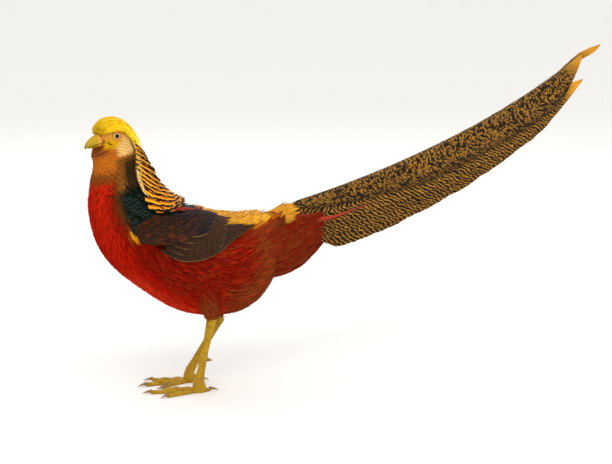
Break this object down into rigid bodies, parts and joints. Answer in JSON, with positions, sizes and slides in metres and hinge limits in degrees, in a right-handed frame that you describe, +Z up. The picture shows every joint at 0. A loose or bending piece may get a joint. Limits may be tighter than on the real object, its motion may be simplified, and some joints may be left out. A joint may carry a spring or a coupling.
{
  "type": "golden pheasant model",
  "caption": "Life-size still model of a golden pheasant cock, standing with its long tail raised behind it and its head turned a little to its left.",
  "frame": {"origin": "on the floor, under the middle of the bird's bounding box", "axes": "+X towards the bill, +Y to the bird's left, +Z up"},
  "size_m": [0.8248, 0.1852, 0.3571],
  "materials": {
    "red_plumage": "satin",
    "gold_plumage": "satin",
    "cape_plumage": "satin",
    "brown_plumage": "matte",
    "tail_plumage": "satin",
    "leg_scale": "matte",
    "horn": "satin",
    "eye_glass": "gloss"
  },
  "bodies": {
    "root": {"torso": "red_plumage", "neck": "cape_plumage", "head": "gold_plumage", "bill_upper": "horn", "bill_lower": "horn", "tail": "tail_plumage", "eye_left": "eye_glass", "wing_left": "brown_plumage", "thigh_left": "red_plumage", "shank_left": "leg_scale", "spur_left": "horn", "foot_left": "leg_scale", "claw_middle_left": "horn", "claw_inner_left": "horn", "claw_outer_left": "horn", "claw_hind_left": "horn", "eye_right": "eye_glass", "wing_right": "brown_plumage", "thigh_right": "red_plumage", "shank_right": "leg_scale", "spur_right": "horn", "foot_right": "leg_scale", "claw_middle_right": "horn", "claw_inner_right": "horn", "claw_outer_right": "horn", "claw_hind_right": "horn"}
  },
  "joints": []
}
